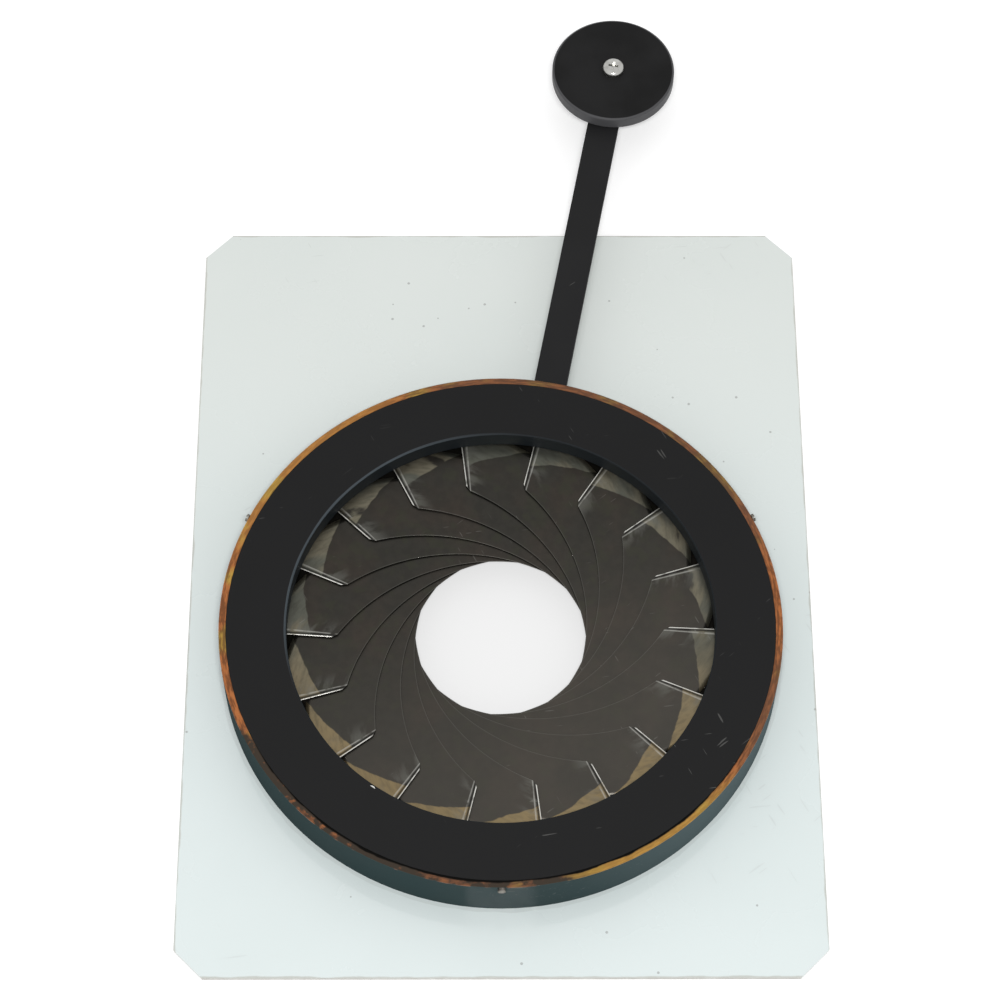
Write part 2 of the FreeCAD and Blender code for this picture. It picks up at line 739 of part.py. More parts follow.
def leaf_pins_shape():
    """Pivot pin, headed above the leaf, and drive pin, headed below it."""
    gap, head, thickness = value("pin_head_gap"), value("pin_head_height"), value("leaf_thickness")
    end_gap = value("pin_end_gap")
    pivot = Vector(value("pivot_circle"), 0, 0)
    pivot_head = leaf_height(0) + thickness + gap
    drive = polar(value("drive_reach"), value("drive_angle"))
    drive_head = leaf_height(value("drive_angle")) - gap - head
    return Part.makeCompound([pin(pivot, value("plate_thickness") + end_gap, pivot_head + head, pivot_head),
                              pin(drive, drive_head, value(RING_TOP) - end_gap, drive_head)])


def leaves():
    leaf, pins = leaf_blank().Shape.Solids[0], leaf_pins_shape()
    pieces = []
    for number in range(1, int(value("leaf_count")) + 1):
        place = leaf_placement(number)
        pieces.append(feature("leaf_%02d" % number, leaf.copy(), place))
        pieces.append(feature("leaf_pins_%02d" % number, pins.copy(), place))
    return pieces


pieces = [mounting_plate(), housing(), cover_ring(), cover_screws(), base_screws(), drive_ring(), lever_bar(),
          lever_rivets(), knob_disc(), knob_screw(), knob_washer(), knob_nut()]
pieces += leaves()
doc.recompute()

for item in doc.Objects:
    if "Invalid" in item.State or "Error" in item.State:
        raise RuntimeError("%s failed: %s" % (item.Label, item.State))
for piece in pieces:
    if piece.Shape.isNull() or not piece.Shape.isValid() or not piece.Shape.Solids:
        raise RuntimeError(piece.Label + " has no sound shape")

os.makedirs("parts", exist_ok=True)
for piece in pieces:
    piece.Shape.exportStep("parts/%s.step" % piece.Label)
    print("%-16s %d solid(s), %.1f mm3" % (piece.Label, len(piece.Shape.Solids), piece.Shape.Volume))
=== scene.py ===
"""Iris diaphragm on a mounting plate: leaf sheets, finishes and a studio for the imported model."""
import json

import bpy
import bmesh
import numpy as np
from bpy.props import FloatProperty, FloatVectorProperty, PointerProperty
from mathutils import Matrix, Vector


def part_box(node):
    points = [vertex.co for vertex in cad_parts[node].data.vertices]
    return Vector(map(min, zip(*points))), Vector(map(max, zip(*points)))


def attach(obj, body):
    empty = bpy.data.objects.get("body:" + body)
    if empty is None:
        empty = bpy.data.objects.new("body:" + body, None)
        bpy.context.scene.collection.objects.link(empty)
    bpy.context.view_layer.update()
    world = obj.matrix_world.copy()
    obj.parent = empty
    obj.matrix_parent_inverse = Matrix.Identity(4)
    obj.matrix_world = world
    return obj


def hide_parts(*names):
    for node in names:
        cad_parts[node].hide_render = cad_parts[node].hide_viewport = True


bl_info = {
    "name": "Iris Diaphragm",
    "version": (1, 0, 0),
    "blender": (4, 5, 0),
    "location": "3D View > Sidebar > Iris",
    "description": "Gives the iris diaphragm its leaf sheets, its finishes and a studio",
    "category": "Object",
}

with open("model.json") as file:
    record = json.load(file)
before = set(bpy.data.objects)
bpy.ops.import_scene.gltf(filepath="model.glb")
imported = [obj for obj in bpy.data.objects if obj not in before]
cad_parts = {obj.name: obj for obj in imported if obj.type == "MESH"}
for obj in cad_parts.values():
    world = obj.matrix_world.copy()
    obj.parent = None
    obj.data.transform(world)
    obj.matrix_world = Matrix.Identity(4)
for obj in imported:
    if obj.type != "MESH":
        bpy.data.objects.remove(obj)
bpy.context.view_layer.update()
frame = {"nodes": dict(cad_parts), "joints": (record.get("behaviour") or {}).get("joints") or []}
NODES = frame["nodes"]
PIVOTS = {joint["child"]: joint["pos_m"] for joint in frame["joints"] if joint["name"].startswith("leaf_pivot_")}
LEAF_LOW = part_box("leaf_01")[0].z
RIM_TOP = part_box("housing")[1].z
RING_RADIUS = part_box("housing")[1].x
PLATE_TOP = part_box("mounting_plate")[1].z
KNOB_MIDDLE = (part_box("knob_disc")[0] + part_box("knob_disc")[1]) / 2
COVER_EDGE = 0.0763  # radius where the edge of the cover's hole starts, with its chips, painted highlight and painted sheen
LAMP_SIZE = (0.26, 0.07)
LAMP_OFFSET = Vector((0.01, -0.02, 0.08))  # from the camera
LAMP_TARGET = (0, -0.02, 0)
FLOOR_REACH = 6

# Stretches of the worn rim: direction from the middle, half width, and half width with the fading, in degrees
RIM_STRETCHES = {
    "painted": (230, 20, 31),
    "brown front": (262, 18, 30),
    "golden front": (302, 14, 26),
    "brown right": (340, 8, 20),
    "brown back": (62, 35, 55),
    "golden back": (137, 15, 35),
}


# Sizes and colours that a user would change

def length(name, description, default):
    return FloatProperty(name=name, description=description, default=default, unit="LENGTH", precision=5)


def angle(name, description, degrees):
    return FloatProperty(name=name, description=description, default=np.radians(degrees), subtype="ANGLE")


def share(name, description, default):
    return FloatProperty(name=name, description=description, default=default, min=0, max=1, subtype="FACTOR")


def colour(name, description, default):
    return FloatVectorProperty(name=name, description=description, default=default, subtype="COLOR", min=0, max=1)


class LeafSettings(bpy.types.PropertyGroup):
    """Shape and finish of the steel leaves"""
    inner_radius: length("Inner Radius", "Radius of a leaf's inner edge", 0.071)
    outer_radius: length("Outer Radius", "Radius of a leaf's outer edge", 0.0955)
    drive_reach: length("Drive Pin Reach", "Distance of the drive pin from the leaf's own centre", 0.0923)
    drive_angle: angle("Drive Pin Angle", "Angle from the pivot to the drive pin about the leaf's own centre", 137.7)
    end_angle: angle("End Angle", "Angle from the pivot to the inner corner of the free end", 132.6)
    end_clip: length("End Clip", "Length of the small bevel on the inner corner of the free end", 0.0015)
    turn: angle("Turn", "Turn of the leaves from fully open to the opening that is drawn", 27.13)
    thickness: length("Thickness", "Thickness of the sheet", 0.0002)
    climb: length("Climb", "Rise of a leaf over one radian about its own centre", 0.0040228)
    cover_radius: length("Cover Radius", "Radius of the hole in the cover that rubs the leaves", 0.0762)
    rub_turn: angle("Rubbed Turn", "How much further the leaves turn to where the cover rubs them", 12.5)
    steel: colour("Steel", "Dark oiled steel", (0.0335, 0.0315, 0.0268))
    steel_warm: colour("Warm Stain", "Reddish stain in the steel", (0.0460, 0.0350, 0.0275))
    sheen: colour("Painted Sheen", "Painted warm reflection on the steel next to the cover", (0.165, 0.150, 0.108))
    golden: colour("Painted Golden Sheen", "Painted golden reflection on the steel, towards the front", (0.25, 0.180, 0.085))
    bare: colour("Bare Edge", "Bright metal on the cut edges, partly a painted highlight", (0.62, 0.61, 0.57))


class PlateSettings(bpy.types.PropertyGroup):
    """Finish of the mounting plate"""
    enamel: colour("Enamel", "Pale grey enamel", (0.625, 0.688, 0.683))
    enamel_far: colour("Faded Enamel", "Enamel at the far end of the plate", (0.634, 0.671, 0.647))
    dirt: colour("Dirt", "Dirt on the cut edges and in the specks", (0.20, 0.20, 0.19))
    roughness: share("Roughness", "Roughness of the enamel", 0.22)


class HousingSettings(bpy.types.PropertyGroup):
    """Finish of the housing, its cover and the screws in it"""
    paint: colour("Side Paint", "Dark blue-green paint on the housing", (0.0300, 0.0500, 0.0520))
    copper: colour("Copper", "Warm bare metal where the paint is worn off", (0.42, 0.150, 0.052))
    gold: colour("Gold", "Yellow bare metal where the paint is worn off", (0.44, 0.270, 0.060))
    dull: colour("Dull Metal", "Browned bare metal at the back, right and front of the rim", (0.105, 0.060, 0.042))
    primer: colour("Rim Paint", "Brown-grey old paint left on top of the rim", (0.044, 0.034, 0.026))
    cover: colour("Cover Paint", "Matt black paint on the cover", (0.0030, 0.0030, 0.0032))
    chip: colour("Chip", "Pale chips and scratches in the black paint", (0.60, 0.60, 0.57))
    rim_width: length("Worn Rim", "Width of the worn band along the rim", 0.0032)


class LeverSettings(bpy.types.PropertyGroup):
    """Finish of the lever, the knob and its screw"""
    paint: colour("Lever Paint", "Matt black paint on the lever", (0.0060, 0.0060, 0.0064))
    moulding: colour("Knob", "Black moulding of the knob", (0.0022, 0.0022, 0.0023))
    rubbed: colour("Rubbed Edge and Painted Sheen", "Edge of the knob and the lever, greyed by rubbing and a painted sheen", (0.10, 0.10, 0.105))
    plating: colour("Plating", "Bright plating of the screw", (0.50, 0.50, 0.48))


class StageSettings(bpy.types.PropertyGroup):
    """Floor, lamps and camera"""
    floor: colour("Floor", "Colour of the floor and the background", (0.93, 0.93, 0.93))
    sky: share("Sky Light", "Strength of the even light from all round", 0.70)
    key: FloatProperty(name="Key Lamp", description="Power of the lamp just above the camera", default=8.5,
                       unit="POWER")
    elevation: angle("Camera Elevation", "Height of the camera above the horizon", 62.03)
    azimuth: angle("Camera Azimuth", "Turn of the camera round the object", -0.66)
    roll: angle("Camera Roll", "Turn of the camera about its own axis", 0.56)
    place: FloatVectorProperty(name="Camera Place", description="Where the camera stands",
                               default=(-0.00636, -0.48822, 1.03375), unit="LENGTH", precision=5)
    lens: FloatProperty(name="Focal Length", description="Focal length for a 36 mm wide frame", default=114.06,
                        unit="CAMERA")


GROUPS = {"iris_leaves": LeafSettings, "iris_plate": PlateSettings, "iris_housing": HousingSettings,
          "iris_lever": LeverSettings, "iris_stage": StageSettings}


# Node helpers

class Graph:
    """Adds nodes to one tree. An input is a number, a colour or the output socket of another node."""

    def __init__(self, tree):
        self.tree = tree

    def node(self, kind, inputs, **settings):
        made = self.tree.nodes.new(kind)
        for name, setting in settings.items():
            setattr(made, name, setting)
        for key, source in inputs.items():
            self.feed(made.inputs[key], source)
        return made

    def feed(self, socket, source):
        if isinstance(source, bpy.types.NodeSocket):
            self.tree.links.new(source, socket)
        elif socket.type == "RGBA":
            socket.default_value = (*source, 1)
        else:
            socket.default_value = source

    def math(self, operation, first, second=0.0):
        return self.node("ShaderNodeMath", {0: first, 1: second}, operation=operation).outputs[0]

    def blend(self, mask, first, second):
        """The first colour where the mask is 0 and the second where it is 1."""
        return self.node("ShaderNodeMix", {0: mask, 6: first, 7: second}, data_type="RGBA").outputs[2]

    def ramp(self, source, start, end, low=0.0, high=1.0):
        """Maps start..end to low..high, and holds the ends."""
        inputs = {"Value": source, "From Min": start, "From Max": end, "To Min": low, "To Max": high}
        return self.node("ShaderNodeMapRange", inputs, interpolation_type="SMOOTHSTEP").outputs[0]

    def noise(self, vector, scale, detail=4.0):
        return self.node("ShaderNodeTexNoise", {"Vector": vector, "Scale": scale, "Detail": detail}).outputs[0]

    def coordinates(self):
        return self.node("ShaderNodeTexCoord", {}).outputs["Object"]

    def split(self, vector):
        """The x, y and z of a vector."""
        return self.node("ShaderNodeSeparateXYZ", {0: vector}).outputs

    def reach(self, parts):
        """Distance from the Z axis of a split vector."""
        squares = [self.math("MULTIPLY", part, part) for part in (parts[0], parts[1])]
        return self.math("SQRT", self.math("ADD", *squares))

    def attribute(self, name):
        return self.node("ShaderNodeAttribute", {}, attribute_name=name).outputs["Fac"]

    def towards(self, parts, degrees, inner, outer):
        """1 on the rim within the inner angle of one direction, falling to 0 at the outer angle."""
        x, y = np.cos(np.radians(degrees)), np.sin(np.radians(degrees))
        along = self.math("ADD", self.math("MULTIPLY", parts[0], x), self.math("MULTIPLY", parts[1], y))
        return self.ramp(along, RING_RADIUS * np.cos(np.radians(outer)), RING_RADIUS * np.cos(np.radians(inner)))

    def group(self, tree, **inputs):
        """Places a node group; the keywords are its input names with underscores for spaces."""
        made = self.tree.nodes.new("ShaderNodeGroup")
        made.node_tree = tree
        for name, source in inputs.items():
            self.feed(made.inputs[name.replace("_", " ")], source)
        return made.outputs[0]

    def bump(self, height, distance, strength=1.0):
        inputs = {"Height": height, "Distance": distance, "Strength": strength}
        return self.node("ShaderNodeBump", inputs).outputs[0]


def new_group(name, inputs, output):
    """An empty node group with a Vector input, the numbers given with their defaults and one output."""
    tree = bpy.data.node_groups.new(name, "ShaderNodeTree")
    tree.interface.new_socket(name="Vector", in_out="INPUT", socket_type="NodeSocketVector")
    for label, default in inputs.items():
        socket = tree.interface.new_socket(name=label, in_out="INPUT", socket_type="NodeSocketFloat")
        socket.default_value = default
    tree.interface.new_socket(name=output, in_out="OUTPUT", socket_type="NodeSocketFloat")
    graph = Graph(tree)
    return tree, graph, graph.node("NodeGroupInput", {}).outputs, graph.node("NodeGroupOutput", {}).inputs[0]


def shared(build):
    """Keeps a node group after its first building."""
    made = {}

    def once():
        if "tree" not in made:
            made["tree"] = build()
        return made["tree"]
    return once


@shared
def mottling():
    """Soft patches: noise between two levels."""
    tree, g, given, result = new_group("Mottling", {"Scale": 50, "Low": 0.4, "High": 0.6}, "Mask")
    g.feed(result, g.ramp(g.noise(given["Vector"], given["Scale"], 6), given["Low"], given["High"]))
    return tree


@shared
def scratches():
    """Fine short scratches in three directions: noise drawn out along a line, kept where it peaks,
    and only inside larger patches."""
    tree, g, given, result = new_group("Scratches", {"Scale": 900, "Level": 0.68, "Patch Scale": 12}, "Mask")
    lines = []
    for turn in (0.5, -0.9, 1.7):
        drawn = g.node("ShaderNodeMapping", {"Vector": given["Vector"], "Rotation": (0, 0, turn), "Scale": (1, 11, 1)},
                       vector_type="TEXTURE")
        streaks = g.noise(drawn.outputs[0], given["Scale"], 1)
        lines.append(g.ramp(streaks, given["Level"], g.math("ADD", given["Level"], 0.03)))
    patches = g.ramp(g.noise(given["Vector"], given["Patch Scale"], 2), 0.50, 0.60)
    marks = g.math("MAXIMUM", g.math("MAXIMUM", lines[0], lines[1]), lines[2])
    g.feed(result, g.math("MULTIPLY", marks, patches))
    return tree


@shared
def specks():
    """Small dots: the middle of some cells of a cellular pattern."""
    tree, g, given, result = new_group("Specks", {"Scale": 100, "Size": 0.15, "Share": 0.2}, "Mask")
    cells = g.node("ShaderNodeTexVoronoi", {"Vector": given["Vector"], "Scale": given["Scale"]})
    dots = g.math("LESS_THAN", cells.outputs["Distance"], given["Size"])
    random = g.node("ShaderNodeSeparateColor", {0: cells.outputs["Color"]}).outputs[0]
    picked = g.math("LESS_THAN", random, given["Share"])
    g.feed(result, g.math("MULTIPLY", dots, picked))
    return tree


@shared
def worn_band():
    """Ragged band round the Z axis: near one radius, above one height, with its limit moved by noise."""
    inputs = {"Radius": 0.1, "Width": 0.001, "Above": 0.0, "Raggedness": 0.001, "Scale": 200}
    tree, g, given, result = new_group("Worn Band", inputs, "Mask")
    parts = g.split(given["Vector"])
    reach = g.reach(parts)
    away = g.math("ABSOLUTE", g.math("SUBTRACT", reach, given["Radius"]))
    wander = g.math("SUBTRACT", g.noise(given["Vector"], given["Scale"], 5), 0.5)
    away = g.math("ADD", away, g.math("MULTIPLY", wander, given["Raggedness"]))
    near = g.ramp(away, given["Width"], g.math("MULTIPLY", given["Width"], 0.75))
    high = g.math("GREATER_THAN", parts[2], given["Above"])
    g.feed(result, g.math("MULTIPLY", near, high))
    return tree


@shared
def ring_streaks():
    """Marks drawn out round the Z axis: noise over the angle, the distance from the axis and the height."""
    tree, g, given, result = new_group("Ring Streaks", {"Scale": 1200, "Low": 0.4, "High": 0.6}, "Mask")
    parts = g.split(given["Vector"])
    reach = g.reach(parts)
    turn = g.math("MULTIPLY", g.math("ARCTAN2", parts[1], parts[0]), 0.02)
    round_place = g.node("ShaderNodeCombineXYZ", {0: turn, 1: reach, 2: parts[2]}).outputs[0]
    g.feed(result, g.ramp(g.noise(round_place, given["Scale"], 3), given["Low"], given["High"]))
    return tree


@shared
def grain():
    """Fine unevenness of a painted or moulded face, as a height."""
    tree, g, given, result = new_group("Grain", {"Scale": 1500}, "Height")
    fine = g.noise(given["Vector"], given["Scale"], 3)
    broad = g.noise(given["Vector"], g.math("MULTIPLY", given["Scale"], 0.2), 2)
    g.feed(result, g.math("ADD", fine, g.math("MULTIPLY", broad, 0.7)))
    return tree


def new_material(name, **constants):
    """A material with a Principled shader whose plain inputs are set by keyword."""
    made = bpy.data.materials.new(name)
    made.use_nodes = True
    tree = made.node_tree
    shader = tree.nodes["Principled BSDF"]
    graph = Graph(tree)
    for label, constant in constants.items():
        graph.feed(shader.inputs[label.replace("_", " ")], constant)
    return made, graph, shader.inputs


def dress(material, *names):
    """Puts a material in every slot of these CAD nodes."""
    for name in names:
        for slot in NODES[name].material_slots:
            slot.material = material


# Finishes

def plate_enamel(values):
    """Glossy pale enamel, a little greyer at the far end, with dark specks, rubbed scratches and dirty edges."""
    material, g, out = new_material("Plate Enamel", IOR=1.5, Coat_Weight=0.8, Coat_Roughness=0.05)
    place = g.coordinates()
    parts = g.split(place)
    base = g.blend(g.ramp(parts[1], -0.05, 0.16), values.enamel, values.enamel_far)
    cloud = g.group(mottling(), Vector=place, Scale=14.0, Low=0.35, High=0.7)
    base = g.blend(g.math("MULTIPLY", cloud, 0.10), base, (0.47, 0.54, 0.52))
    lines = g.group(scratches(), Vector=place, Scale=800.0, Level=0.745, Patch_Scale=14.0)
    base = g.blend(g.math("MULTIPLY", lines, 0.17), base, values.dirt)
    dots = g.group(specks(), Vector=place, Scale=170.0, Size=0.085, Share=0.16)
    base = g.blend(g.math("MULTIPLY", dots, 0.55), base, values.dirt)
    side = g.math("MULTIPLY", g.math("GREATER_THAN", parts[2], 0.00005),
                  g.math("LESS_THAN", parts[2], PLATE_TOP - 0.00005))
    grime = g.group(mottling(), Vector=place, Scale=160.0, Low=0.25, High=0.6)
    base = g.blend(g.math("MULTIPLY", side, g.math("ADD", g.math("MULTIPLY", grime, 0.5), 0.35)), base, values.dirt)
    low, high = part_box("mounting_plate")
    past_side = g.math("SUBTRACT", g.math("ABSOLUTE", parts[0]), high.x)
    from_middle = g.math("ABSOLUTE", g.math("SUBTRACT", parts[1], (low.y + high.y) / 2))
    past_end = g.math("SUBTRACT", from_middle, (high.y - low.y) / 2)
    past = g.math("ADD", g.math("MAXIMUM", past_side, past_end), g.math("MULTIPLY", g.noise(place, 90.0), 0.0018))
    base = g.blend(g.math("MULTIPLY", g.ramp(past, 0.0002, 0.0008), 0.55), base, (0.34, 0.32, 0.27))
    # A darker band on the plate at the foot of the housing, in the dirt colour.
    ring = g.group(worn_band(), Vector=place, Radius=RING_RADIUS + 0.0003, Width=0.0012, Above=PLATE_TOP - 0.0002,
                   Raggedness=0.0016, Scale=120.0)
    base = g.blend(g.math("MULTIPLY", ring, 0.15), base, values.dirt)
    g.feed(out["Base Color"], base)
    smudge = g.group(mottling(), Vector=place, Scale=22.0, Low=0.4, High=0.75)
    rough = g.math("ADD", g.math("MULTIPLY", smudge, 0.12), values.roughness)
    g.feed(out["Roughness"], g.math("ADD", rough, g.math("MULTIPLY", lines, 0.2)))
    g.feed(out["Normal"], g.bump(g.group(grain(), Vector=place, Scale=600.0), 0.00002, 0.5))
    return material


def rim_wear(g, values, place, parts):
    """The rim's worn band, the bare metal in it and the metal's colour."""
    there = {name: g.towards(parts, *stretch) for name, stretch in RIM_STRETCHES.items()}
    narrower = g.math("MULTIPLY", g.ramp(parts[1], -0.03, -0.08), values.rim_width * 0.32)
    band = g.group(worn_band(), Vector=place, Radius=RING_RADIUS + 0.0001,
                   Width=g.math("SUBTRACT", values.rim_width, narrower), Above=RIM_TOP - 0.0006,
                   Raggedness=0.0018, Scale=110.0)

    # Paint is left where the noise lies under a limit that rises in two stretches
    kept = g.math("MAXIMUM", g.math("MULTIPLY", there["painted"], 0.37), g.math("MULTIPLY", there["brown front"], 0.24))
    fine = g.math("SUBTRACT", g.noise(place, 350.0, 3), 0.5)
    flecks = g.math("ADD", g.noise(place, 45.0, 6), g.math("MULTIPLY", fine, g.math("MULTIPLY", kept, 2.5)))
    bare = g.math("MULTIPLY", band, g.ramp(flecks, g.math("ADD", kept, 0.20), g.math("ADD", kept, 0.36)))

    yellow = g.group(mottling(), Vector=place, Scale=60.0, Low=0.50, High=0.62)
    yellow = g.math("MAXIMUM", yellow, g.math("MULTIPLY", there["golden front"], 0.75))
    yellow = g.math("MAXIMUM", yellow, g.math("MULTIPLY", there["golden back"], 0.40))
    yellow = g.math("MULTIPLY", yellow, g.math("SUBTRACT", 1.0, there["painted"]))
    metal = g.blend(yellow, values.copper, values.gold)
    tarnish = g.group(ring_streaks(), Vector=place, Scale=1300.0, Low=0.34, High=0.60)
    brighter = g.math("MULTIPLY", g.math("MAXIMUM", there["golden back"], there["golden front"]), 0.40)
    tarnish = g.math("MULTIPLY", tarnish, g.math("SUBTRACT", 0.7, brighter))
    metal = g.blend(tarnish, metal, (0.085, 0.038, 0.022))
    browned = g.math("MULTIPLY", there["painted"], 0.7)
    for name in ("brown front", "brown right", "brown back"):
        browned = g.math("MAXIMUM", browned, there[name])
    return band, bare, g.blend(g.math("MULTIPLY", browned, 0.6), metal, values.dull)


def housing_paint(values):
    """Dark blue-green paint, with painted light that makes it lighter to the right, worn along the rim to copper,
    yellow and browned metal and, at the front left, to old paint with flecks of metal."""
    material, g, out = new_material("Worn Housing Paint", IOR=1.5, Specular_IOR_Level=0.0,
                                    Coat_Weight=0.03, Coat_Roughness=0.08)
    place = g.coordinates()
    parts = g.split(place)
    band, bare, metal = rim_wear(g, values, place, parts)
    cloud = g.group(mottling(), Vector=place, Scale=40.0, Low=0.3, High=0.7)
    paint = g.blend(g.math("MULTIPLY", cloud, 0.5), values.paint, (0.038, 0.056, 0.057))
    # Painted light: the paint is made lighter towards the right.
    right = g.ramp(parts[0], 0.01, 0.085)
    paint = g.blend(g.math("MULTIPLY", right, 0.9), paint, (0.092, 0.124, 0.131))
    scuffs = g.group(scratches(), Vector=place, Scale=900.0, Level=0.73, Patch_Scale=25.0)
    paint = g.blend(g.math("MULTIPLY", scuffs, 0.3), paint, (0.16, 0.18, 0.18))
    top = g.blend(band, (0.0045, 0.0042, 0.0038), values.primer)
    paint = g.blend(g.math("GREATER_THAN", parts[2], RIM_TOP - 0.0002), paint, top)
    g.feed(out["Base Color"], g.blend(bare, paint, metal))
    g.feed(out["Metallic"], g.math("MULTIPLY", bare, 0.85))
    g.feed(out["Roughness"], g.math("ADD", g.math("MULTIPLY", cloud, 0.12), 0.24))
    height = g.math("SUBTRACT", g.group(grain(), Vector=place, Scale=900.0), g.math("MULTIPLY", bare, 1.5))
    g.feed(out["Normal"], g.bump(height, 0.00004, 0.6))
    return material


def black_paint(values, name, base, edge, chips):
    """Matt black paint with faint cloudy rubbing, a few pale scratches, and along one round edge chips, a painted
    highlight and a painted bluish sheen on the hole's wall.
    """
    material, g, out = new_material(name, IOR=1.45, Specular_IOR_Level=0.22)
    place = g.coordinates()
    cloud = g.group(mottling(), Vector=place, Scale=35.0, Low=0.35, High=0.7)
    tone = g.blend(g.math("MULTIPLY", cloud, 0.5), base, [part * 1.9 for part in base])
    lines = g.group(scratches(), Vector=place, Scale=850.0, Level=0.765, Patch_Scale=9.0)
    tone = g.blend(g.math("MULTIPLY", lines, 0.09), tone, values.chip)
    if edge:
        # Painted sheen: the wall of the hole is made a little lighter and bluish.
        wall = g.group(worn_band(), Vector=place, Radius=edge, Width=0.0003, Above=0.0, Raggedness=0.0, Scale=45.0)
        tone = g.blend(wall, tone, (0.0070, 0.0095, 0.0115))
        # Painted highlight: a thin pale bluish line along the edge of the hole, on the back left.
        rubbed = g.group(worn_band(), Vector=place, Radius=edge, Width=0.0007, Above=RIM_TOP - 0.00045,
                         Raggedness=0.0006, Scale=45.0)
        parts = g.split(place)
        back_left = g.math("MULTIPLY", g.ramp(parts[0], 0.015, -0.05), g.ramp(parts[1], -0.03, 0.005))
        rubbed = g.math("MULTIPLY", rubbed, g.math("MULTIPLY", back_left, 0.18))
        tone = g.blend(rubbed, tone, (0.22, 0.27, 0.31))
        dots = g.group(specks(), Vector=place, Scale=110.0, Size=0.16, Share=chips)
        near = g.group(worn_band(), Vector=place, Radius=edge, Width=0.0010, Above=RIM_TOP - 0.001, Raggedness=0.0,
                       Scale=45.0)
        tone = g.blend(g.math("MULTIPLY", dots, near), tone, values.chip)
    g.feed(out["Base Color"], tone)
    g.feed(out["Roughness"], g.math("ADD", g.math("MULTIPLY", cloud, 0.1), 0.56))
    g.feed(out["Normal"], g.bump(g.group(grain(), Vector=place, Scale=1400.0), 0.00003, 0.5))
    return material


def knob_moulding(values):
    """Black moulding with a fine grain, its side greyed partly where fingers rub its edge and partly as a painted
    sheen.
    """
    material, g, out = new_material("Knob Moulding", IOR=1.46, Specular_IOR_Level=0.18)
    place = g.coordinates()
    inputs = {"Vector": place, "Location": (-KNOB_MIDDLE.x, -KNOB_MIDDLE.y, 0)}
    centred = g.node("ShaderNodeMapping", inputs).outputs[0]
    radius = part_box("knob_disc")[1].x - KNOB_MIDDLE.x
    # The greyed side is partly rubbing and partly a painted sheen.
    side = g.group(worn_band(), Vector=centred, Radius=radius, Width=0.0009, Above=0.0, Raggedness=0.0004, Scale=80.0)
    cloud = g.group(mottling(), Vector=place, Scale=45.0, Low=0.35, High=0.65)
    tone = g.blend(g.math("MULTIPLY", cloud, 0.5), values.moulding, (0.013, 0.013, 0.0135))
    g.feed(out["Base Color"], g.blend(g.math("MULTIPLY", side, 0.62), tone, values.rubbed))
    g.feed(out["Roughness"], g.math("ADD", g.math("MULTIPLY", cloud, 0.12), 0.45))
    g.feed(out["Normal"], g.bump(g.group(grain(), Vector=place, Scale=1700.0), 0.00003, 0.5))
    return material


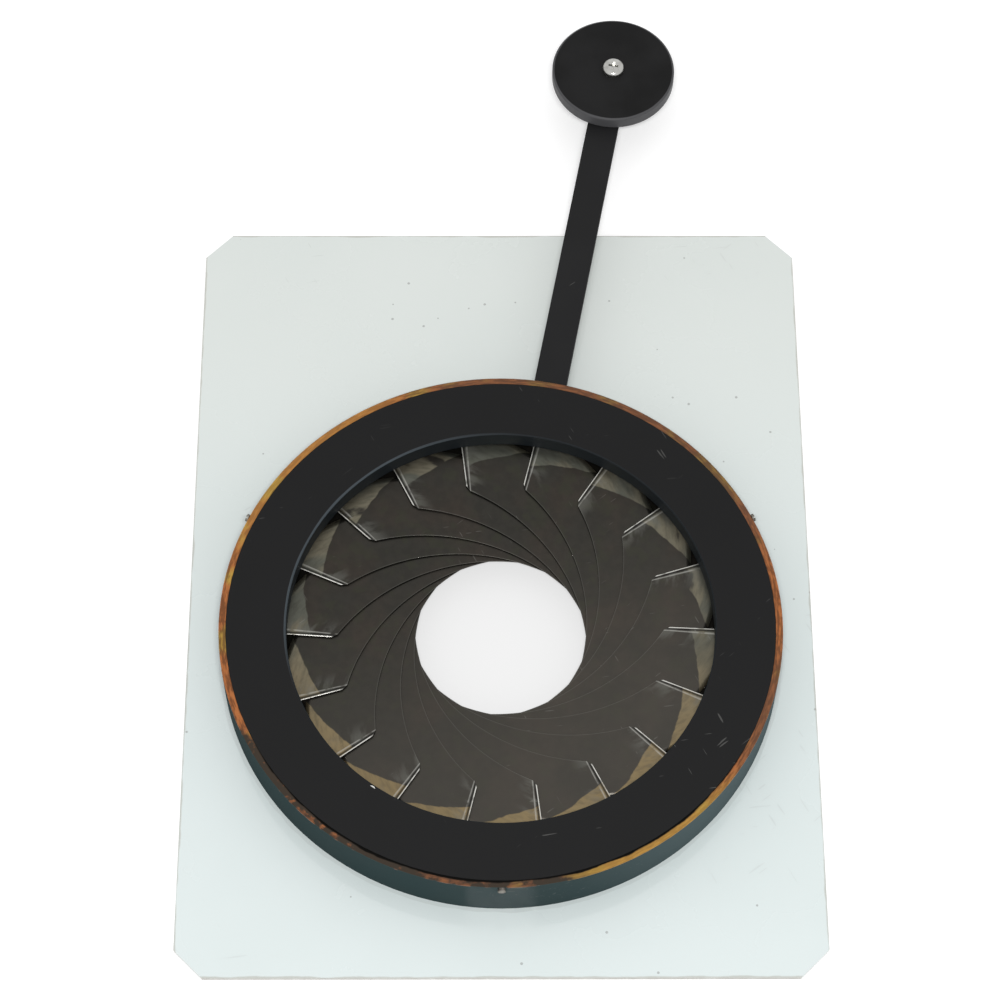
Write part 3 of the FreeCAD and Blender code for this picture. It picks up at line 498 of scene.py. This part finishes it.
def leaf_steel(values):
    """Dark oiled sheet steel, stained red in places, with a painted warm reflection where it passes under the cover,
    bare cut edges that partly are a painted highlight, painted light towards the front right and a painted shadow line
    before the free end. The sheet's own attributes give the place along and across it."""
    material, g, out = new_material("Leaf Steel", Metallic=0.85, IOR=1.5)
    place = g.coordinates()
    parts = g.split(place)
    along = g.attribute("along")
    across = g.attribute("across")
    stain = g.group(mottling(), Vector=place, Scale=55.0, Low=0.4, High=0.7)
    tone = g.blend(g.math("MULTIPLY", stain, 0.55), values.steel, values.steel_warm)
    fine = g.group(mottling(), Vector=place, Scale=320.0, Low=0.35, High=0.65)
    tone = g.blend(g.math("MULTIPLY", fine, 0.25), tone, (0.018, 0.017, 0.015))
    green = g.group(mottling(), Vector=place, Scale=190.0, Low=0.50, High=0.66)
    tone = g.blend(g.math("MULTIPLY", green, 0.5), tone, (0.036, 0.037, 0.025))
    # Painted light: the steel is made lighter towards the front right.
    painted_light_front_right = g.ramp(g.math("SUBTRACT", g.math("MULTIPLY", parts[0], 0.4), parts[1]), -0.05, 0.07)
    tone = g.blend(g.math("MULTIPLY", painted_light_front_right, 0.45), tone, (0.085, 0.078, 0.067))
    number = g.attribute("number")
    sheet = g.node("ShaderNodeCombineXYZ", {0: g.math("MULTIPLY", along, 0.075), 1: g.math("MULTIPLY", across, 0.0245),
                                            2: number}).outputs[0]
    # Painted warm reflection: pale tan sheen patches, placed where the cover rubs the leaves.
    beyond = g.attribute("beyond")
    wander = g.math("MULTIPLY", g.math("SUBTRACT", g.noise(sheet, 120.0), 0.5), 0.0035)
    rubbed = g.ramp(g.math("ADD", beyond, wander), 0.0, 0.0005)
    patch = g.group(mottling(), Vector=sheet, Scale=90.0, Low=0.34, High=0.40)
    streak = g.group(mottling(), Vector=sheet, Scale=700.0, Low=0.30, High=0.60)
    rubbed = g.math("MULTIPLY", g.math("MULTIPLY", rubbed, patch), g.ramp(along, 0.82, 0.88))
    rubbed = g.math("MULTIPLY", rubbed, g.math("ADD", g.math("MULTIPLY", streak, 0.3), 0.65))
    # The painted reflection turns golden towards the front.
    front = g.ramp(parts[1], 0.01, -0.055)
    hue = g.group(mottling(), Vector=sheet, Scale=90.0, Low=0.42, High=0.58)
    sheen = g.blend(hue, values.sheen, (0.095, 0.098, 0.080))
    sheen = g.blend(g.math("MULTIPLY", front, 0.75), sheen, values.golden)
    tone = g.blend(rubbed, tone, sheen)
    smear = g.group(mottling(), Vector=sheet, Scale=240.0, Low=0.44, High=0.60)
    smear = g.math("MULTIPLY", smear, g.ramp(along, 0.945, 0.985))
    tone = g.blend(g.math("MULTIPLY", smear, 0.45), tone, (0.14, 0.14, 0.125))
    # Painted shadow: a dark line just before the bright free end.
    painted_shadow_line = g.math("MULTIPLY", g.ramp(along, 0.9880, 0.9895), g.ramp(along, 0.9945, 0.9930))
    tone = g.blend(g.math("MULTIPLY", painted_shadow_line, 0.75), tone, (0.006, 0.006, 0.006))
    # The bright band at the free end is bare metal with a painted highlight, and the faint lighter line along the inner
    # edge is a painted highlight.
    end = g.ramp(along, 0.9945, 0.9965)
    rim = g.math("MULTIPLY", g.ramp(across, 0.016, 0.006), 0.045)
    chipped = g.group(mottling(), Vector=place, Scale=260.0, Low=0.30, High=0.5)
    bare = g.math("MAXIMUM", g.math("MULTIPLY", end, g.math("ADD", g.math("MULTIPLY", chipped, 0.7), 0.3)), rim)
    crease = g.math("MULTIPLY", g.ramp(along, 0.9825, 0.9840), g.ramp(along, 0.9870, 0.9855))
    bare = g.math("MAXIMUM", bare, g.math("MULTIPLY", crease, g.math("MULTIPLY", chipped, 0.3)))
    lines = g.group(scratches(), Vector=place, Scale=1100.0, Level=0.755, Patch_Scale=30.0)
    bare = g.math("MAXIMUM", bare, g.math("MULTIPLY", lines, 0.08))
    g.feed(out["Base Color"], g.blend(bare, tone, values.bare))
    g.feed(out["Roughness"], g.math("ADD", g.math("MULTIPLY", stain, 0.14), 0.30))
    g.feed(out["Normal"], g.bump(g.group(grain(), Vector=place, Scale=260.0), 0.00006, 0.45))
    return material


def turned_metal(name, base, shade, rough):
    """Turned or plated metal with slight uneven tarnish and tool marks."""
    material, g, out = new_material(name, Metallic=1.0)
    place = g.coordinates()
    dull = g.group(mottling(), Vector=place, Scale=500.0, Low=0.35, High=0.7)
    g.feed(out["Base Color"], g.blend(g.math("MULTIPLY", dull, 0.5), base, shade))
    g.feed(out["Roughness"], g.math("ADD", g.math("MULTIPLY", dull, 0.2), rough))
    g.feed(out["Normal"], g.bump(g.group(grain(), Vector=place, Scale=2500.0), 0.00002, 0.4))
    return material


# Leaf sheets

def polar(radius, turn):
    """Points at a radius and an array of angles."""
    return np.stack([radius * np.cos(turn), radius * np.sin(turn)], axis=-1)


def straight(start, end, count=12):
    """Points evenly along a straight line, start + (end - start) t."""
    steps = np.linspace(0, 1, count)[:, None]
    return start + (end - start) * steps


def evenly(points, count):
    """Resamples a line of points at even steps of its length."""
    run = np.concatenate([[0], np.cumsum(np.linalg.norm(np.diff(points, axis=0), axis=1))])
    steps = np.linspace(0, run[-1], count)
    return np.stack([np.interp(steps, run, points[:, 0]), np.interp(steps, run, points[:, 1])], axis=-1)


def leaf_edges(values, pivot_circle, count):
    """Inner and outer edge of a leaf from its pivot end to its free end, in its own frame.

    The inner edge is a straight line that touches the round pivot end and the inner circle, then that circle,
    then the clipped corner. The outer edge is the round pivot end, the outer circle and the round about the
    drive pin."""
    inner, outer = values.inner_radius, values.outer_radius
    pivot = np.array([pivot_circle, 0.0])
    pivot_pad = outer - pivot_circle
    lean = -np.arccos((inner + pivot_pad) / pivot_circle)
    start = polar(inner, -lean)
    touch = pivot - polar(pivot_pad, -lean)
    drive = polar(values.drive_reach, values.drive_angle)
    drive_pad = outer - values.drive_reach
    corner = polar(inner, values.end_angle)
    gap = drive - corner
    turn = np.arctan2(gap[1], gap[0]) + np.arcsin(drive_pad / np.linalg.norm(gap))
    clipped = corner + polar(values.end_clip, turn)
    curve_end = values.end_angle - values.end_clip / inner
    inner_side = np.concatenate([straight(touch, start), polar(inner, np.linspace(-lean, curve_end, 400)),
                                 straight(polar(inner, curve_end), clipped)])
    touch_angle = np.arctan2(touch[1], touch[0] - pivot_circle)
    pad_start = touch_angle - 2 * np.pi * (touch_angle > 0)
    outer_side = np.concatenate([pivot + polar(pivot_pad, np.linspace(pad_start, 0, 60)),
                                 polar(outer, np.linspace(0, values.drive_angle, 400)),
                                 drive + polar(drive_pad, np.linspace(values.drive_angle, turn + np.pi / 2, 24))])
    return evenly(inner_side, count), evenly(outer_side, count)


def turned_in(flat, pivot, turn):
    """Moves points of a leaf's own frame onto the pivot, with the leaf turned in from fully open."""
    reach = np.hypot(pivot[0], pivot[1])
    heading = np.arctan2(pivot[1], pivot[0]) + turn
    spin = np.array([[np.cos(heading), np.sin(heading)], [-np.sin(heading), np.cos(heading)]])
    return flat @ spin + np.array(pivot[:2]) - polar(reach, heading)


def leaf_sheet(values, pivot, low):
    """Upper face of one leaf: inner(u) (1 - v) + outer(u) v, at a height that grows evenly with the angle
    about the leaf's own centre, with the numbers u, v and how far beyond the cover's edge each point gets."""
    along = np.concatenate([np.linspace(0, 0.985, 150), [0.990, 0.9935, 0.9955, 0.9975, 1.0]])
    across = np.concatenate([[0, 0.004, 0.012], np.linspace(0.06, 1, 13)])
    pivot_circle = np.hypot(pivot[0], pivot[1])
    inner, outer = leaf_edges(values, pivot_circle, 1200)
    rows = np.linspace(0, 1, 1200)
    inner = np.stack([np.interp(along, rows, inner[:, k]) for k in range(2)], axis=-1)
    outer = np.stack([np.interp(along, rows, outer[:, k]) for k in range(2)], axis=-1)
    flat = inner[:, None] * (1 - across[None, :, None]) + outer[:, None] * across[None, :, None]
    about = np.arctan2(flat[..., 1], flat[..., 0])
    first = -(values.outer_radius - pivot_circle) / pivot_circle
    height = low + values.thickness + values.climb * (about - first)
    ground = turned_in(flat, pivot, values.turn)
    points = np.concatenate([ground, height[..., None]], axis=-1)
    grid_along, grid_across = np.meshgrid(along, across, indexing="ij")
    further_in = turned_in(flat, pivot, values.turn + values.rub_turn)
    beyond = np.linalg.norm(further_in, axis=-1) - values.cover_radius
    return points, {"along": grid_along, "across": grid_across, "beyond": beyond}


def grid_mesh(name, points, attributes):
    """Mesh of a grid of points, with one number for each point under each attribute name."""
    rows, columns = points.shape[:2]
    numbers = np.arange(rows * columns).reshape(rows, columns)
    corners = np.stack([numbers[:-1, :-1], numbers[:-1, 1:], numbers[1:, 1:], numbers[1:, :-1]], axis=-1)
    mesh = bpy.data.meshes.new(name)
    mesh.from_pydata(points.reshape(-1, 3), [], corners.reshape(-1, 4))
    for label, marks in attributes.items():
        mesh.attributes.new(label, "FLOAT", "POINT").data.foreach_set("value", marks.reshape(-1).astype(np.float32))
    return mesh


def tidy_mesh(mesh):
    """Merges the points that share a place, so that poles and seams are closed, and turns faces outwards."""
    edit = bmesh.new()
    edit.from_mesh(mesh)
    bmesh.ops.remove_doubles(edit, verts=edit.verts, dist=1e-7)
    bmesh.ops.recalc_face_normals(edit, faces=edit.faces)
    if sum(face.normal.z for face in edit.faces) < 0:
        bmesh.ops.reverse_faces(edit, faces=edit.faces)
    edit.to_mesh(mesh)
    edit.free()
    mesh.shade_smooth()


# Operators

class IRIS_OT_plate(bpy.types.Operator):
    """Give the mounting plate its enamel"""
    bl_idname = "iris.plate"
    bl_label = "Mounting Plate"

    def execute(self, context):
        dress(plate_enamel(context.scene.iris_plate), "mounting_plate")
        return {"FINISHED"}


class IRIS_OT_housing(bpy.types.Operator):
    """Give the housing its worn paint and the ring inside it its brass"""
    bl_idname = "iris.housing"
    bl_label = "Housing"

    def execute(self, context):
        dress(housing_paint(context.scene.iris_housing), "housing")
        dress(turned_metal("Ring Brass", (0.62, 0.47, 0.22), (0.30, 0.20, 0.09), 0.3), "drive_ring", "lever_rivets")
        return {"FINISHED"}


class IRIS_OT_cover(bpy.types.Operator):
    """Give the cover ring its matt black paint"""
    bl_idname = "iris.cover"
    bl_label = "Cover Ring"

    def execute(self, context):
        values = context.scene.iris_housing
        dress(black_paint(values, "Cover Paint", values.cover, COVER_EDGE, 0.20), "cover_ring")
        return {"FINISHED"}


class IRIS_OT_leaves(bpy.types.Operator):
    """Lay the leaf sheets on their pivots"""
    bl_idname = "iris.leaves"
    bl_label = "Leaves"

    def execute(self, context):
        values = context.scene.iris_leaves
        material = leaf_steel(values)
        for body, pivot in PIVOTS.items():
            number = body[-2:]
            points, marks = leaf_sheet(values, pivot, LEAF_LOW)
            marks["number"] = np.full_like(marks["along"], float(number))
            mesh = grid_mesh("leaf_sheet_" + number, points, marks)
            tidy_mesh(mesh)
            mesh.materials.append(material)
            sheet = bpy.data.objects.new("leaf_sheet_" + number, mesh)
            context.scene.collection.objects.link(sheet)
            wall = sheet.modifiers.new("Thickness", "SOLIDIFY")
            wall.thickness = values.thickness
            wall.offset = -1
            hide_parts("leaf_" + number)
            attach(sheet, body)
        dress(turned_metal("Pin Steel", (0.45, 0.44, 0.42), (0.20, 0.19, 0.18), 0.3),
              *[name for name in NODES if name.startswith("leaf_pins_")])
        return {"FINISHED"}


class IRIS_OT_lever(bpy.types.Operator):
    """Give the lever and the knob their black finishes"""
    bl_idname = "iris.lever"
    bl_label = "Lever and Knob"

    def execute(self, context):
        values = context.scene.iris_lever
        dress(black_paint(context.scene.iris_housing, "Lever Paint", values.paint, 0, 0), "lever_bar")
        dress(knob_moulding(values), "knob_disc")
        return {"FINISHED"}


class IRIS_OT_fasteners(bpy.types.Operator):
    """Give the screws, the washer and the nut their metal"""
    bl_idname = "iris.fasteners"
    bl_label = "Fasteners"

    def execute(self, context):
        plating = context.scene.iris_lever.plating
        dress(turned_metal("Bright Screw", plating, (0.30, 0.29, 0.27), 0.14),
              "knob_screw", "knob_washer", "knob_nut", "base_screws")
        dress(turned_metal("Blackened Screw", (0.10, 0.09, 0.08), (0.45, 0.42, 0.36), 0.35), "cover_screws")
        return {"FINISHED"}


def background_rays(graph):
    """1 for the rays that see the background: camera, glossy and transmission rays."""
    rays = graph.node("ShaderNodeLightPath", {}).outputs
    seen = graph.math("MAXIMUM", rays["Is Camera Ray"], rays["Is Glossy Ray"])
    return graph.math("MAXIMUM", seen, rays["Is Transmission Ray"])


def make_floor(context, values):
    """Wide flat floor under the plate, seen a little brighter than it is lit, with painted light on the disc under the
    plate's hole, which is darker in colour and glows more.
    """
    steps = np.linspace(-FLOOR_REACH, FLOOR_REACH, 13)
    x, y = np.meshgrid(steps, steps, indexing="ij")
    mesh = grid_mesh("floor", np.stack([x, y, np.zeros_like(x)], axis=-1), {})
    tidy_mesh(mesh)
    material, g, out = new_material("Floor", Roughness=0.9, Specular_IOR_Level=0.1)
    place = g.coordinates()
    # Painted light: under the plate's hole the floor is darker in colour and glows more, so it looks evenly lit through
    # the hole.
    under = g.group(worn_band(), Vector=place, Radius=0.0, Width=0.078, Above=-1.0, Raggedness=0.0, Scale=1.0)
    g.feed(out["Base Color"], g.blend(g.math("MULTIPLY", under, 0.7), values.floor, (0.0, 0.0, 0.0)))
    g.feed(out["Emission Color"], (1.0, 1.0, 1.0))
    level = g.math("ADD", g.math("MULTIPLY", under, 0.41), 0.16)
    g.feed(out["Emission Strength"], g.math("MULTIPLY", background_rays(g), level))
    mesh.materials.append(material)
    floor = bpy.data.objects.new("floor", mesh)
    context.scene.collection.objects.link(floor)


def make_lamp(context, name, power, size, place, target):
    """Oval lamp at a place, turned to a target."""
    lamp = bpy.data.lights.new(name, "AREA")
    lamp.energy = power
    lamp.shape = "ELLIPSE"
    lamp.size, lamp.size_y = size
    made = bpy.data.objects.new(name, lamp)
    made.location = place
    made.rotation_euler = (Vector(target) - Vector(place)).to_track_quat("-Z", "Y").to_euler()
    context.scene.collection.objects.link(made)


def make_camera(context, values):
    """Camera that looks down at the object from its front edge."""
    e, a, r = values.elevation, values.azimuth, values.roll
    back = Vector((np.sin(a) * np.cos(e), -np.cos(a) * np.cos(e), np.sin(e)))
    right = (-back).cross(Vector((0, 0, 1))).normalized()
    up = right.cross(-back)
    across = right * np.cos(r) + up * np.sin(r)
    upright = up * np.cos(r) - right * np.sin(r)
    camera = bpy.data.cameras.new("camera")
    camera.lens = values.lens
    camera.sensor_width = 36
    camera.clip_start, camera.clip_end = 0.01, 50
    made = bpy.data.objects.new("camera", camera)
    turned = Matrix((across, upright, back)).transposed().to_4x4()
    made.matrix_world = Matrix.Translation(Vector(values.place)) @ turned
    context.scene.collection.objects.link(made)
    context.scene.camera = made


class IRIS_OT_stage(bpy.types.Operator):
    """Set up the floor, the lamps and the camera"""
    bl_idname = "iris.stage"
    bl_label = "Stage"

    def execute(self, context):
        values = context.scene.iris_stage
        make_floor(context, values)
        world = bpy.data.worlds.new("Studio")
        world.use_nodes = True
        g = Graph(world.node_tree)
        background = world.node_tree.nodes["Background"]
        g.feed(background.inputs["Color"], (1.0, 1.0, 1.0))
        g.feed(background.inputs["Strength"], g.ramp(background_rays(g), 0.0, 1.0, values.sky, 1.0))
        context.scene.world = world
        make_lamp(context, "key", values.key, LAMP_SIZE, Vector(values.place) + LAMP_OFFSET, LAMP_TARGET)
        make_camera(context, values)
        context.scene.view_settings.view_transform = "Standard"
        return {"FINISHED"}


class IRIS_PT_sidebar(bpy.types.Panel):
    """Sidebar tab that lists the pieces and their settings"""
    bl_label = "Iris Diaphragm"
    bl_idname = "IRIS_PT_sidebar"
    bl_space_type = "VIEW_3D"
    bl_region_type = "UI"
    bl_category = "Iris"

    def draw(self, context):
        for operator in OPERATORS:
            self.layout.operator(operator.bl_idname)
        for name in GROUPS:
            box = self.layout.box()
            settings = getattr(context.scene, name)
            for item in settings.bl_rna.properties:
                if item.identifier not in ("rna_type", "name"):
                    box.prop(settings, item.identifier)


OPERATORS = (IRIS_OT_plate, IRIS_OT_housing, IRIS_OT_cover, IRIS_OT_leaves, IRIS_OT_lever, IRIS_OT_fasteners,
             IRIS_OT_stage)


def register():
    for item in (*GROUPS.values(), *OPERATORS, IRIS_PT_sidebar):
        bpy.utils.register_class(item)
    for name, settings in GROUPS.items():
        setattr(bpy.types.Scene, name, PointerProperty(type=settings))


def unregister():
    for name in GROUPS:
        delattr(bpy.types.Scene, name)
    for item in (IRIS_PT_sidebar, *reversed(OPERATORS), *reversed(GROUPS.values())):
        bpy.utils.unregister_class(item)


def main():
    register()
    for operator in OPERATORS:
        getattr(bpy.ops.iris, operator.bl_idname.split(".")[1])()


if __name__ == "__main__":
    main()
